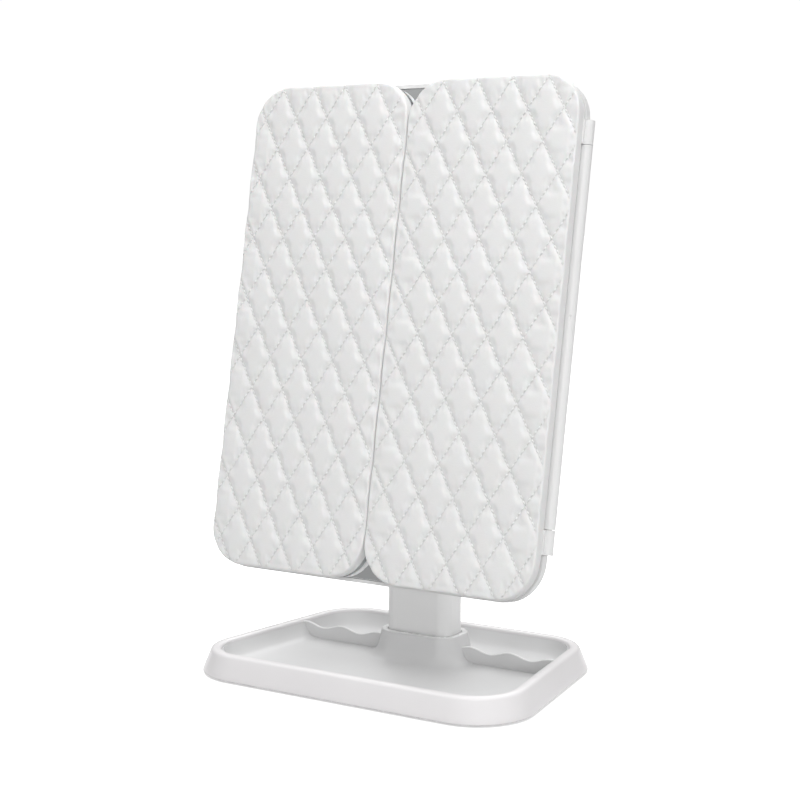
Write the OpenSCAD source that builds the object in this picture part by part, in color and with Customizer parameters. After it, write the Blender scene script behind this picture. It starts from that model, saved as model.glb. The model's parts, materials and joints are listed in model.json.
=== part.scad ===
// Tri-fold lighted vanity mirror, shown with its two doors closed.
// Frame: +Z up, +X to the viewer's right, the doors face -Y.
// Origin: centre of the base, on the surface that the feet stand on.

/* [Head] */
// Height of the closed doors
door_h = 292; // [260:1:320]
// Half the width of the closed doors
half_w = 109.7; // [104:0.1:120]
// Thickness from the quilted front to the casing
door_t = 9; // [9:0.1:9.4]
// Corner radius of the doors
corner_r = 23.5; // [20:0.5:30]
// How much taller the casing is than the doors
casing_extra = 0; // [-1:0.1:4]
// How far the middle of the casing is below the middle of the doors
casing_down = 0.9; // [0:0.1:1.5]
// Depth from the quilted front to the flat back
head_depth = 27; // [26:0.5:30]
// Lean of the head away from the viewer, in degrees
lean = 11.2; // [0:0.1:20]
// Height of the bottom edge of the leaning doors
head_z = 63.4; // [60:0.1:70]
// Bottom front edge of the doors, in front of the middle of the base
head_y = -48.6; // [-52:0.1:-46]

/* [Door hinges] */
// Radius of the hinge barrels
barrel_r = 3.1; // [2.9:0.1:3.3]
// Length of each door ear
ear_h = 13.6; // [12:0.1:15]
// Height of the lower edge of the bottom ear
ear_low = 27.6; // [26:0.1:30]
// Height of the lower edge of the top ear
ear_top = 252.9; // [240:0.1:254]

/* [Lights] */
// Lights in each strip
led_count = 18; // [6:1:20]
// Length of the light strips in the casing
strip_h = 220; // [200:1:226]
// Distance of the casing's light strips from the middle
strip_x = 86; // [80:0.5:90]

/* [Base] */
// Half the width of the base along its front
base_front = 113.2; // [105:0.1:120]
// Half the width of the base along its back
base_back = 93.4; // [88:0.1:100]
// Depth of the base, front to back
base_d = 155.8; // [150:0.1:165]
// Corner radius of the base
base_r = 34.8; // [34:0.1:38]
// Height of the rim
rim_z = 15; // [14:0.1:18]
// Top of the tray floor
floor_z = 4.2; // [4.2:0.1:5]

/* [Neck] */
// Half the width of the neck
neck_w = 22.1; // [21:0.1:24]
// Half the depth of the neck
neck_d = 11.5; // [11.5:0.1:13]
// Corner radius of the neck
neck_r = 7.4; // [6:0.1:8]
// Middle of the neck, behind the middle of the base
neck_y = 24.7; // [22:0.1:26]
// Top of the raised collar that the neck stands in
collar_z = 20.2; // [18:0.1:24]
// Height of the tilt axis
pivot_z = 196; // [192:1:205]

/* [Hidden] */
$fn = 48;
arc_steps = 9;
mid_h = door_h / 2;

// Base layers, from the surface up
foot_h = 1.1;
foot_r = 7;
bottom_z = 0.6;
ballast_z = 1.8;
tray_z = 3;
base_slope = atan((base_front - base_back) / base_d);
front_corner = [base_front - base_r * (1 + sin(base_slope)) / cos(base_slope), base_r - base_d / 2];
back_corner = [base_back - base_r * (1 - sin(base_slope)) / cos(base_slope), base_d / 2 - base_r];
divider_t = 1.6;
wave_pitch = 27;
wave_crest = 60;

// Battery bay inside the neck
cell_r = 7.1;
cell_h = 49.5;
cell_x = 7.3;
bay_z = 42;
bay_top = 152;
bay_half = 14.8;
bay_front = neck_y - 7.8;
neck_back = neck_y + neck_d;
lid_t = 2.2;
lid_low = 37;
lid_high = 157;
lid_half = 16.6;
usb_z = 28;

// Tilt hinge
knuckle_half = 12.5;
knuckle_r = 11;
shoulder_z = pivot_z - 17.6;
pin_r = 3;
ear_in = 13.2;
ear_out = 20.2;
pivot_run = neck_y - head_y;
pivot_rise = pivot_z - head_z;
pivot_d = pivot_run * cos(lean) - pivot_rise * sin(lean);
pivot_h = pivot_run * sin(lean) + pivot_rise * cos(lean);
plate_t = 2.6;
plate_w = 68;
plate_h = 72;

// Layers of the head, measured back from the quilted front
glass_d = door_t + 0.6;
backing_d = glass_d + 2;
web_d = backing_d + 0.6;
cover_d = web_d + 1.5;
skin = 2;
barrel_x = half_w + 1.4;
barrel_d = door_t + 3;
pin_hole_r = 1.25;
hinge_pin_r = 1.2;
notch_w = 1.3;
notch_h = 157;
rim_w = 2;
side_lip = 0.8;
casing_h = door_h + casing_extra;
casing_mid = mid_h - casing_down;
window_w = 12;
board_w = 13.5;
switch_x = 58;
switch_h = 34;

// Layers of one door
door_gap = 0.15;
door_w = half_w - door_gap;
door_x = (half_w + door_gap) / 2;
shell_d = 5.2;
skirt_d = 7.6;
shell_back = door_t - 0.4;
recess_d = 6.4;
door_glass_t = 1.8;
door_strip_h = 206;
door_strip_x = 92;

// ---------------------------------------------------------------- shared shapes

// Rounded outline of the base, or of any four-cornered shape that is the same on
// both sides, as points in one plane: c1 and c2 are its corner centres.
function corner_ring(c1, c2, slope, r) = [
    for (q = [[c1.x, c1.y, -90, slope], [c2.x, c2.y, slope, 90],
              [-c2.x, c2.y, 90, 180 - slope], [-c1.x, c1.y, 180 - slope, 270]])
        for (i = [0:arc_steps])
            let (t = q[2] + (q[3] - q[2]) * i / arc_steps)
                [q[0] + r * cos(t), q[1] + r * sin(t)]
];

function base_ring(inset, z) = [
    for (p = corner_ring(front_corner, back_corner, base_slope, base_r - inset)) [p.x, p.y, z]
];

function neck_ring(grow, z) = [
    for (p = corner_ring([neck_w - neck_r, neck_r - neck_d], [neck_w - neck_r, neck_d - neck_r],
                         0, neck_r + grow)) [p.x, p.y + neck_y, z]
];

function box_ring(half_x, half_h, r, d) = [
    for (p = corner_ring([half_x - r, r - half_h], [half_x - r, half_h - r], 0, r)) [p.x, p.y, d]
];

// Solid skin through a stack of rings, closed by its first and last ring
module loft(rings) {
    n = len(rings[0]);
    m = len(rings);
    sides = [
        for (j = [0:m - 2]) for (i = [0:n - 1])
            [j * n + i, (j + 1) * n + i, (j + 1) * n + (i + 1) % n, j * n + (i + 1) % n]
    ];
    first_cap = [for (i = [0:n - 1]) i];
    last_cap = [for (i = [n - 1:-1:0]) (m - 1) * n + i];
    polyhedron(points = [for (r = rings) each r], faces = concat([first_cap], sides, [last_cap]));
}

// Skin swept round the base: a closed band through rings that return to the first
module band(rings) {
    n = len(rings[0]);
    m = len(rings);
    sides = [
        for (j = [0:m - 1]) for (i = [0:n - 1])
            [j * n + i, ((j + 1) % m) * n + i, ((j + 1) % m) * n + (i + 1) % n, j * n + (i + 1) % n]
    ];
    polyhedron(points = [for (r = rings) each r], faces = sides);
}

module rounded_rect(w, h, r) {
    square([w - 2 * r, h], center = true);
    square([w, h - 2 * r], center = true);
    for (x = [r - w / 2, w / 2 - r], y = [r - h / 2, h / 2 - r])
        translate([x, y]) circle(r);
}

// Flat slab of the head, from depth d1 to depth d2 behind the quilted front
module slab(w, h, r, d1, d2) {
    translate([0, 0, d1]) linear_extrude(d2 - d1) rounded_rect(w, h, r);
}

// Places what is drawn flat (x, height, depth) as the leaning head
module on_head() {
    translate([0, head_y, head_z]) rotate([-lean, 0, 0])
        mirror([0, 1, 0]) rotate([90, 0, 0]) children();
}

// The left door is the right door mirrored
module on_door(side) {
    on_head() mirror([side < 0 ? 1 : 0, 0, 0]) children();
}

module screw(head_r, head_h, shank_r, length) {
    cylinder(h = head_h, r = head_r);
    translate([0, 0, head_h]) cylinder(h = length, r = shank_r);
}

module neck_outline(grow) {
    rounded_rect(2 * (neck_w + grow), 2 * (neck_d + grow), neck_r + grow);
}

// ---------------------------------------------------------------- base

screw_inset = 6.9;
screw_spots = concat([for (x = [-66, 0, 66]) [x, screw_inset - base_d / 2]],
                     [for (x = [-55, 0, 55]) [x, base_d / 2 - screw_inset]]);
foot_spots = [[-88, -50], [88, -50], [-74, 52], [74, 52]];
neck_screw_spots = [for (x = [-13, 13], y = [-5, 5]) [x, neck_y + y]];

module base_shell() {
    color("white") difference() {
        union() {
            band([
                base_ring(0.3, 1.0), base_ring(0, 1.8), base_ring(4.5, rim_z - 2.3),
                base_ring(5.2, rim_z - 0.9), base_ring(6.3, rim_z - 0.2), base_ring(8, rim_z),
                base_ring(9.7, rim_z - 0.1), base_ring(10.8, rim_z - 0.6), base_ring(11.3, rim_z - 1.5),
                base_ring(11.3, rim_z - 2.6), base_ring(6.8, rim_z - 2.6), base_ring(2.6, 1.0)
            ]);
            for (p = screw_spots) translate([p.x, p.y, ballast_z]) cylinder(h = 6.2, r = 3.2);
        }
        for (p = screw_spots) translate([p.x, p.y, ballast_z - 1]) cylinder(h = 6.2, r = 1.25);
    }
}

function tray_under() = [
    base_ring(26, tray_z), base_ring(20, 3.3), base_ring(16.6, 4.4), base_ring(14.2, 6.6),
    base_ring(12.3, 9.6), base_ring(11.5, 12.2), base_ring(11.5, rim_z - 1.7)
];

function tray_upper() = [
    base_ring(12.4, rim_z - 1.6), base_ring(12.7, 12), base_ring(13.8, 9.7), base_ring(15.6, 7.4),
    base_ring(18, 5.6), base_ring(21.4, 4.5), base_ring(26, floor_z)
];

module tray_hump() {
    loft([
        neck_ring(15, tray_z + 0.2), neck_ring(15, floor_z), neck_ring(12, floor_z + 0.4),
        neck_ring(9.4, floor_z + 1.5), neck_ring(7.6, floor_z + 3.2), neck_ring(6.4, floor_z + 5.6),
        neck_ring(5.4, floor_z + 9), neck_ring(4.7, floor_z + 12.6), neck_ring(4.3, collar_z - 0.9),
        neck_ring(3.9, collar_z - 0.3), neck_ring(3.1, collar_z)
    ]);
}

// Wavy-topped wall that runs across the tray behind the hump's middle
module tray_divider() {
    wall_x = base_front;
    wave = [
        for (x = [wall_x:-3:-wall_x])
            [x, rim_z - 2 + 1.4 * cos(360 * (abs(x) - wave_crest) / wave_pitch)]
    ];
    translate([0, neck_y - 2.4 + divider_t, 0]) rotate([90, 0, 0])
        linear_extrude(divider_t) polygon(concat([[-wall_x, tray_z + 0.4], [wall_x, tray_z + 0.4]], wave));
}

module tray_insert() {
    color("lightgray") difference() {
        union() {
            loft(concat(tray_under(), tray_upper()));
            intersection() {
                tray_divider();
                loft(tray_under());
            }
            tray_hump();
        }
        translate([0, neck_y, tray_z - 1]) linear_extrude(collar_z) neck_outline(0.35);
    }
}

module base_bottom() {
    color("gainsboro") difference() {
        loft([base_ring(3.4, bottom_z), base_ring(3.4, ballast_z)]);
        for (p = foot_spots) translate([p.x, p.y, 0]) cylinder(h = foot_h, r = foot_r + 0.1);
        for (p = screw_spots) translate([p.x, p.y, 0]) cylinder(h = 3, r = 1.6);
        for (p = neck_screw_spots) translate([p.x, p.y, 0]) cylinder(h = 3, r = 1.8);
    }
}

module ballast_plate() {
    color("silver") difference() {
        translate([0, 0, ballast_z]) linear_extrude(tray_z - ballast_z) rounded_rect(150, 104, 6);
        for (p = neck_screw_spots) translate([p.x, p.y, 0]) cylinder(h = 5, r = 1.8);
    }
}

module rubber_feet() {
    color("dimgray") for (p = foot_spots) translate([p.x, p.y, 0]) {
        cylinder(h = foot_h, r = foot_r);
    }
}

module base_screws() {
    color("silver") for (p = screw_spots) translate([p.x, p.y, 0.1]) screw(2.8, 0.5, 1.2, 5.5);
}

module neck_screws() {
    color("silver") for (p = neck_screw_spots) translate([p.x, p.y, 0.1]) screw(3, 0.5, 1.5, 12);
}

// ---------------------------------------------------------------- neck

// Fits the battery lid's pocket when grow is 0 and the lid when grow is negative
module lid_block(grow, d) {
    intersection() {
        translate([0, neck_y, lid_low - grow]) linear_extrude(lid_high - lid_low + 2 * grow)
            neck_outline(d);
        translate([-lid_half - grow, neck_back - lid_t, lid_low - grow])
            cube([2 * (lid_half + grow), lid_t + 5, lid_high - lid_low + 2 * grow]);
    }
}

module neck_post() {
    color("white") difference() {
        union() {
            for (step = [[0, 1.5], [0.4, 0.7], [1.1, 0]])
                translate([0, neck_y, tray_z])
                    linear_extrude(shoulder_z - step[1] - tray_z) neck_outline(-step[0]);
            translate([-knuckle_half, neck_y - knuckle_r, shoulder_z - 5])
                cube([2 * knuckle_half, 2 * knuckle_r, pivot_z - shoulder_z + 5]);
            translate([-knuckle_half, neck_y, pivot_z]) rotate([0, 90, 0])
                cylinder(h = 2 * knuckle_half, r = knuckle_r);
        }
        translate([-bay_half, bay_front, bay_z])
            cube([2 * bay_half, neck_back - bay_front + 1, bay_top - bay_z]);
        lid_block(0, 1);
        translate([-lid_half - 3, neck_y - 3, 18]) cube([4, 6, bay_top - 2]);
        translate([-7, neck_y - 3, 20]) cube([14, neck_d - 1, 12.2]);
        translate([-4.6, neck_y, usb_z - 1.8]) cube([9.2, neck_d + 1, 3.6]);
        for (p = neck_screw_spots) translate([p.x, p.y, tray_z - 1]) cylinder(h = 11.5, r = 1.5);
        translate([-knuckle_half - 1, neck_y, pivot_z]) rotate([0, 90, 0])
            cylinder(h = 2 * knuckle_half + 2, r = pin_r + 0.05);
    }
}

module each_cell() {
    for (x = [-cell_x, cell_x], row = [0, 1])
        translate([x, neck_y, bay_z + 4.6 + row * (cell_h + 1.1)]) children();
}

module battery_box() {
    color("dimgray") difference() {
        translate([-bay_half, bay_front, bay_z]) cube([2 * bay_half, 8.6, bay_top - bay_z]);
        for (x = [-cell_x, cell_x]) translate([x, neck_y, bay_z + 1.2])
            cylinder(h = bay_top - bay_z - 2.4, r = cell_r + 0.1);
        contact_strip(0.2);
    }
}

module battery_cells() {
    color("darkslategray") each_cell() {
        cylinder(h = cell_h - 1, r = cell_r);
        translate([0, 0, cell_h - 1]) cylinder(h = 1, r = 2.7);
    }
}

// Cone-shaped contact spring: a wire swept along a narrowing helix
module cone_spring(turns, r_low, r_high, height, wire_r) {
    steps = 12 * turns;
    loft([
        for (i = [0:steps])
            let (a = 30 * i, part = i / steps, r = r_low + (r_high - r_low) * part)
                [for (k = [0:5])
                    let (out = r + wire_r * sin(60 * k))
                        [out * cos(a), out * sin(a), height * part + wire_r * cos(60 * k)]]
    ]);
}

module battery_springs() {
    color("silver") for (x = [-cell_x, cell_x]) translate([x, neck_y, bay_z + 1.2]) {
        cylinder(h = 0.3, r = 5.2);
        translate([0, 0, 0.5]) cone_spring(4, 4.6, 2.6, 2.5, 0.35);
    }
}

// Strip that joins the two rows of cells at the top of the bay
module contact_strip(grow) {
    translate([-cell_x - 5 - grow, neck_y - 4 - grow, bay_top - 2 - grow])
        cube([2 * (cell_x + 5 + grow), 8 + 2 * grow, 0.4 + 2 * grow]);
}

module battery_contacts() {
    color("silver") contact_strip(0);
}

module battery_door() {
    color("white") difference() {
        union() {
            lid_block(-0.2, 0);
            translate([-10, neck_back - lid_t - 0.8, lid_low + 8]) cube([20, 1, lid_high - lid_low - 16]);
        }
        translate([0, neck_back + 5.3, lid_high - 13]) rotate([90, 0, 0])
            translate([0, 0, -1]) cylinder(h = 7.2, r = 5.5);
    }
}

module charge_board() {
    color("green") translate([-6.5, neck_y - 2.4, 22]) cube([13, 1.2, 9.6]);
}

module usb_socket() {
    color("silver") difference() {
        translate([-4.3, neck_y - 1.1, usb_z - 1.6]) cube([8.6, neck_d + 0.5, 3.2]);
        translate([-3.7, neck_y + 1, usb_z - 1]) cube([7.4, neck_d, 2]);
    }
}

// ---------------------------------------------------------------- tilt hinge

// Draws along the tilt axis: x along the axis, flat as on the head
module on_pivot() {
    on_head() translate([0, pivot_h, pivot_d]) rotate([0, 90, 0]) children();
}

bracket_spots = [for (x = [-27, 27], h = [-27, 27]) [x, pivot_h + h]];

module tilt_bracket() {
    reach = pivot_d - head_depth;
    color("white") difference() {
        union() {
            on_head() translate([0, pivot_h, 0]) slab(plate_w, plate_h, 8, head_depth, head_depth + plate_t);
            for (side = [-1, 1]) on_pivot() translate([0, 0, side * (ear_in + ear_out) / 2])
                linear_extrude(ear_out - ear_in, center = true) {
                    circle(knuckle_r);
                    polygon([[0, -knuckle_r], [reach - 5, -knuckle_r], [reach, -knuckle_r - 4],
                             [reach, knuckle_r + 4], [reach - 5, knuckle_r], [0, knuckle_r]]);
                }
        }
        on_pivot() cylinder(h = 60, r = pin_r, center = true);
        for (p = bracket_spots) on_head() translate([p.x, p.y, head_depth - 1])
            cylinder(h = plate_t + 2, r = 1.6);
    }
}

module tilt_pin() {
    color("silver") on_pivot() cylinder(h = 2 * ear_out - 1, r = pin_r, center = true);
}

module tilt_washers() {
    color("dimgray") for (side = [-1, 1]) on_pivot()
        translate([0, 0, side * (ear_in + knuckle_half) / 2]) difference() {
            cylinder(h = ear_in - knuckle_half - 0.1, r = 8.5, center = true);
            cylinder(h = 2, r = pin_r, center = true);
        }
}

module pin_caps() {
    color("white") for (side = [-1, 1]) on_pivot() mirror([0, 0, side < 0 ? 1 : 0])
        translate([0, 0, ear_out]) {
            cylinder(h = 1, r = 8);
            translate([0, 0, 1]) cylinder(h = 0.7, r1 = 8, r2 = 7);
        }
}

module bracket_screws() {
    color("silver") for (p = bracket_spots) on_head()
        translate([p.x, p.y, head_depth + plate_t + 1.6]) mirror([0, 0, 1]) screw(2.9, 1.6, 1.5, 8);
}

// ---------------------------------------------------------------- casing

// Strip windows, light boards and bars repeat at both sides of the middle
module at_strips() {
    for (x = [-strip_x, strip_x]) translate([x, mid_h, 0]) children();
}

module hinge_side() {
    for (side = [0, 1]) mirror([side, 0, 0]) translate([barrel_x, 0, barrel_d]) children();
}

// Free space that a door's ear turns in
module ear_pocket(low, length) {
    translate([0, low - 0.3, 0]) {
        rotate([-90, 0, 0]) cylinder(h = length + 0.6, r = barrel_r + 0.4);
        translate([-barrel_r - 0.4, 0, -20]) cube([20, length + 0.6, 20]);
    }
}

module mirror_frame() {
    ear_end = ear_low + ear_h;
    color("white") on_head() difference() {
        union() {
            translate([0, casing_mid, 0])
                slab(2 * (half_w + side_lip), casing_h, corner_r + 1, door_t, cover_d);
            hinge_side() translate([0, ear_end + 0.3, 0]) rotate([-90, 0, 0])
                cylinder(h = ear_top - ear_end - 0.6, r = barrel_r);
        }
        translate([0, casing_mid, 0])
            slab(2 * (half_w - 3.6), casing_h - 2 * rim_w, corner_r - 1, door_t - 1, web_d);
        at_strips() slab(window_w - 1, strip_h - 1, 5, web_d - 1, cover_d + 1);
        translate([0, 22, web_d - 1]) cylinder(h = 4, r = 9);
        translate([0, 62, 0]) slab(50, 26, 4, web_d - 1, cover_d + 1);
        for (p = cover_screw_spots) translate([p.x, p.y, web_d - 1]) cylinder(h = 4, r = 1.2);
        for (x = [-8, 8]) translate([x, mid_h, web_d - 1]) cylinder(h = 4, r = 4.1);
        hinge_side() ear_pocket(ear_low, ear_h);
        hinge_side() ear_pocket(ear_top, ear_h);
        hinge_side() for (h = [ear_end - 1, ear_top - 12]) translate([0, h, 0])
            rotate([-90, 0, 0]) cylinder(h = 13, r = hinge_pin_r);
        hinge_side() translate([notch_w / 2, notch_h, -barrel_r - 1])
            cube([notch_w, notch_w, 1.7]);
    }
}

module centre_mirror() {
    color("lightsteelblue") on_head() difference() {
        translate([0, casing_mid, 0])
            slab(2 * (half_w - 3.8), casing_h - 2 * rim_w - 0.4, corner_r - 1.2, glass_d, backing_d);
        at_strips() slab(window_w, strip_h, 5.5, glass_d - 1, backing_d + 1);
    }
}

module mirror_backing() {
    color("gray") on_head() difference() {
        translate([0, casing_mid, 0])
            slab(2 * (half_w - 5), casing_h - 2 * rim_w - 3, corner_r - 2.5, backing_d, web_d);
        at_strips() slab(window_w + 2, strip_h + 2, 6.5, backing_d - 1, web_d + 1);
    }
}

module led_boards() {
    color("ivory") on_head() at_strips() slab(board_w, strip_h + 2, 1, cover_d, cover_d + 0.8);
}

module led_row(length, d1, d2) {
    pitch = length / led_count;
    for (i = [0:led_count - 1])
        translate([-1.4, (i + 0.5) * pitch - length / 2 - 1.75, d1]) cube([2.8, 3.5, d2 - d1]);
}

module led_chips() {
    color("lemonchiffon") on_head() at_strips() led_row(strip_h, cover_d - 0.8, cover_d);
}

module light_diffusers() {
    color("whitesmoke") on_head() at_strips() slab(window_w - 0.4, strip_h - 0.4, 5.3, glass_d, backing_d);
}

module control_board() {
    color("green") on_head() translate([0, 62, 0]) slab(56, 34, 1.5, cover_d + 2.4, cover_d + 4);
}

module board_parts() {
    board_d = cover_d + 4;
    color("black") on_head() translate([0, 62, board_d]) {
        translate([-16, -5, 0]) cube([10, 10, 1.6]);
        translate([2, 2, 0]) cube([8, 6, 1.2]);
        translate([13, -13, 0]) cube([7, 6, 4]);
        translate([-20, -13, 0]) cube([6, 8, 4]);
        translate([6, -8, 0]) cylinder(h = 5, r = 3);
    }
}

module touch_pad() {
    color("goldenrod") on_head() translate([0, 22, web_d]) cylinder(h = 1, r = 8);
}

module frame_magnets() {
    color("silver") on_head() for (x = [-8, 8]) translate([x, mid_h, web_d]) cylinder(h = 1.2, r = 4);
}

module switch_body() {
    color("black") on_head() translate([switch_x, switch_h, head_depth - skin - 6]) difference() {
        translate([-7, -4, 0]) cube([14, 8, 5.9]);
        translate([-4.3, -2, 2.6]) cube([8.6, 4, 4]);
    }
}

module power_switch() {
    color("dimgray") on_head() translate([switch_x - 2, switch_h, head_depth - skin - 3.2]) {
        translate([-1.9, -1.7, 0]) cube([3.8, 3.4, 6.4]);
    }
}

// Straight lengths of insulated wire along the inside of the casing
module wire(from, along, length) {
    translate(from) rotate(along) cylinder(h = length, r = 0.7, $fn = 16);
}

module head_wires() {
    d = cover_d + 5;
    color("red") on_head() for (step = [0, 1]) {
        wire([28.2, 66 + 2 * step, d - 1.7], [0, 90, 0], strip_x - 36);
        wire([-28.2, 66 + 2 * step, d - 1.7], [0, -90, 0], strip_x - 36);
    }
}

cover_screw_spots = [[-84, 26], [84, 26], [-84, 262], [84, 262], [-70, mid_h], [70, mid_h]];
board_spots = [for (x = [-24, 24], h = [49, 75]) [x, h]];

// Pan with sloping sides: its floor inside, its walls down to the lip and the outside again
module cover_pan() {
    half_x = half_w + side_lip - 0.3;
    half_h = casing_h / 2 - 0.3;
    r = corner_r + 0.7;
    floor_d = head_depth - skin;
    profile = [
        [18.2, floor_d], [15.6, floor_d - 0.8], [12.6, cover_d + 8.6], [7.4, cover_d + 4.6],
        [4, cover_d + 2.4], [2.4, cover_d],
        [0, cover_d], [0.5, cover_d + 1.4], [2.2, cover_d + 3.2], [6, cover_d + 6.4],
        [11, cover_d + 10.2], [13.6, head_depth - 1.3], [15.8, head_depth - 0.3], [17.8, head_depth]
    ];
    loft([for (s = profile) box_ring(half_x - s[0], half_h - s[0], r - s[0], s[1])]);
}

module back_cover() {
    floor_d = head_depth - skin;
    color("white") on_head() difference() {
        union() {
            translate([0, casing_mid, 0]) cover_pan();
            for (p = cover_screw_spots) translate([p.x, p.y, cover_d])
                cylinder(h = floor_d - cover_d + 1, r = 3.6);
            for (p = bracket_spots) translate([p.x, p.y, floor_d - 6])
                cylinder(h = 7, r = 3.6);
            for (p = board_spots) translate([p.x, p.y, cover_d + 4])
                cylinder(h = floor_d - cover_d - 3, r = 2.4);
        }
        for (p = cover_screw_spots) translate([p.x, p.y, cover_d - 1]) {
            cylinder(h = 20, r = 1.2);
            translate([0, 0, head_depth - 1.6 - cover_d + 1]) cylinder(h = 4, r = 3.2);
        }
        for (p = bracket_spots) translate([p.x, p.y, floor_d - 4]) cylinder(h = 10, r = 1.5);
        hinge_side() ear_pocket(ear_low, ear_top + ear_h - ear_low);
        translate([switch_x, switch_h, 0]) slab(8.2, 3.8, 0.6, floor_d - 1, head_depth + 1);
    }
}

module back_screws() {
    color("silver") on_head() for (p = cover_screw_spots)
        translate([p.x, p.y, head_depth - 0.2]) mirror([0, 0, 1]) screw(2.9, 1.4, 1.2, 12);
}

// Pins pressed into the casing's barrels, on which the doors' ears turn
module hinge_pins(side) {
    color("silver") on_door(side) translate([barrel_x, 0, barrel_d]) {
        translate([0, ear_low + 1.2, 0]) rotate([-90, 0, 0])
            cylinder(h = ear_h + 10, r = hinge_pin_r);
        translate([0, ear_top - 11, 0]) rotate([-90, 0, 0])
            cylinder(h = ear_h + 9.8, r = hinge_pin_r);
    }
}

// ---------------------------------------------------------------- doors

module door_slab(inset, r, d1, d2) {
    translate([door_x, mid_h, 0]) slab(door_w - 2 * inset, door_h - 2 * inset, r, d1, d2);
}

module at_door_strip() {
    translate([door_strip_x, mid_h, 0]) children();
}

// Hinge ear: a barrel with an arm to the back of the door
module door_ear(low, length) {
    translate([barrel_x, low, barrel_d]) {
        rotate([-90, 0, 0]) cylinder(h = length, r = barrel_r);
        translate([-barrel_r, 0, skirt_d - barrel_d]) cube([barrel_r - 0.8, length, barrel_d - skirt_d]);
    }
}

module door_shell(side) {
    color("white") on_door(side) difference() {
        union() {
            door_slab(1.3, corner_r - 1.3, shell_d, skirt_d);
            door_slab(2.2, corner_r - 2.2, skirt_d, shell_back);
            door_ear(ear_low, ear_h);
            door_ear(ear_top, ear_h);
        }
        door_slab(3.4, corner_r - 3.4, recess_d, door_t);
        at_door_strip() slab(10, door_strip_h + 8, 1, shell_d - 1, recess_d + 1);
        translate([10, mid_h, shell_d - 1]) cylinder(h = 3, r = 4.1);
        translate([barrel_x, ear_low + 1, barrel_d]) rotate([-90, 0, 0])
            cylinder(h = ear_h, r = pin_hole_r);
        translate([barrel_x, ear_top - 1, barrel_d]) rotate([-90, 0, 0])
            cylinder(h = ear_h, r = pin_hole_r);
    }
}

// Padded cover that wraps round the edge of the shell
module door_pad(side) {
    color("snow") on_door(side) difference() {
        translate([door_x, mid_h, 0]) loft([
            for (s = [[3, 0], [1.2, 0.7], [0.3, 2], [0, 3.4], [0, skirt_d]])
                box_ring(door_w / 2 - s[0], mid_h - s[0], corner_r - s[0], s[1])
        ]);
        door_slab(1.2, corner_r - 1.2, shell_d, skirt_d + 1);
    }
}

module door_mirror(side) {
    color("lightsteelblue") on_door(side) difference() {
        door_slab(3.6, corner_r - 3.6, recess_d, recess_d + door_glass_t);
        at_door_strip() slab(8, door_strip_h, 3.5, recess_d - 1, door_t);
    }
}

module door_diffuser(side) {
    color("whitesmoke") on_door(side) at_door_strip()
        slab(7.7, door_strip_h - 0.3, 3.3, recess_d + 0.4, recess_d + door_glass_t);
}

module door_led_board(side) {
    color("ivory") on_door(side) at_door_strip()
        slab(9.6, door_strip_h + 7.6, 0.8, shell_d, shell_d + 0.7);
}

module door_leds(side) {
    color("lemonchiffon") on_door(side) at_door_strip() led_row(door_strip_h, shell_d + 0.7, shell_d + 1.4);
}

module door_magnet(side) {
    color("silver") on_door(side) translate([10, mid_h, shell_d + 0.1]) cylinder(h = 1, r = 4);
}

base_shell();
tray_insert();
base_bottom();
ballast_plate();
rubber_feet();
base_screws();
neck_screws();
neck_post();
battery_box();
battery_cells();
battery_springs();
battery_contacts();
battery_door();
charge_board();
usb_socket();
tilt_bracket();
tilt_pin();
tilt_washers();
pin_caps();
bracket_screws();
mirror_frame();
centre_mirror();
mirror_backing();
led_boards();
led_chips();
light_diffusers();
control_board();
board_parts();
touch_pad();
frame_magnets();
switch_body();
power_switch();
head_wires();
back_cover();
back_screws();
hinge_pins(-1);  // left_hinge_pins
hinge_pins(1);  // right_hinge_pins
door_shell(-1);  // left_door_shell
door_pad(-1);  // left_door_pad
door_mirror(-1);  // left_door_mirror
door_diffuser(-1);  // left_door_diffuser
door_led_board(-1);  // left_led_board
door_leds(-1);  // left_door_leds
door_magnet(-1);  // left_door_magnet
door_shell(1);  // right_door_shell
door_pad(1);  // right_door_pad
door_mirror(1);  // right_door_mirror
door_diffuser(1);  // right_door_diffuser
door_led_board(1);  // right_led_board
door_leds(1);  // right_door_leds
door_magnet(1);  // right_door_magnet
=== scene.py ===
"""Looks of the tri-fold vanity mirror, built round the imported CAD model."""

import json
import math

import bmesh
import bpy
import numpy as np
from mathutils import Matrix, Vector
from mathutils.bvhtree import BVHTree


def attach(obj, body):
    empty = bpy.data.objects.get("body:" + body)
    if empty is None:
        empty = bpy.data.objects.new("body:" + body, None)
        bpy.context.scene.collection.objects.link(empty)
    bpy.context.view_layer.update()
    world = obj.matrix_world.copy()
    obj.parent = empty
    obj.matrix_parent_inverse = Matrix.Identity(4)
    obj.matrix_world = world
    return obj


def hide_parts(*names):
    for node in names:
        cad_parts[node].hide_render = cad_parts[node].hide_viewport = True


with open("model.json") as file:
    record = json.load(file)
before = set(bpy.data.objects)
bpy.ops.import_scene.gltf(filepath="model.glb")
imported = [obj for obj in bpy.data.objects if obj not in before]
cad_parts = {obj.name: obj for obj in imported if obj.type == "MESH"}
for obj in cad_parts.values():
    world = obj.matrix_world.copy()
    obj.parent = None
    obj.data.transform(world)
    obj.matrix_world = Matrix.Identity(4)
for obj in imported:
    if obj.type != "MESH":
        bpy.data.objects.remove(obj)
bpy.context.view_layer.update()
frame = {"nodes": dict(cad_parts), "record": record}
scene = bpy.context.scene
MM = 0.001

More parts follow.
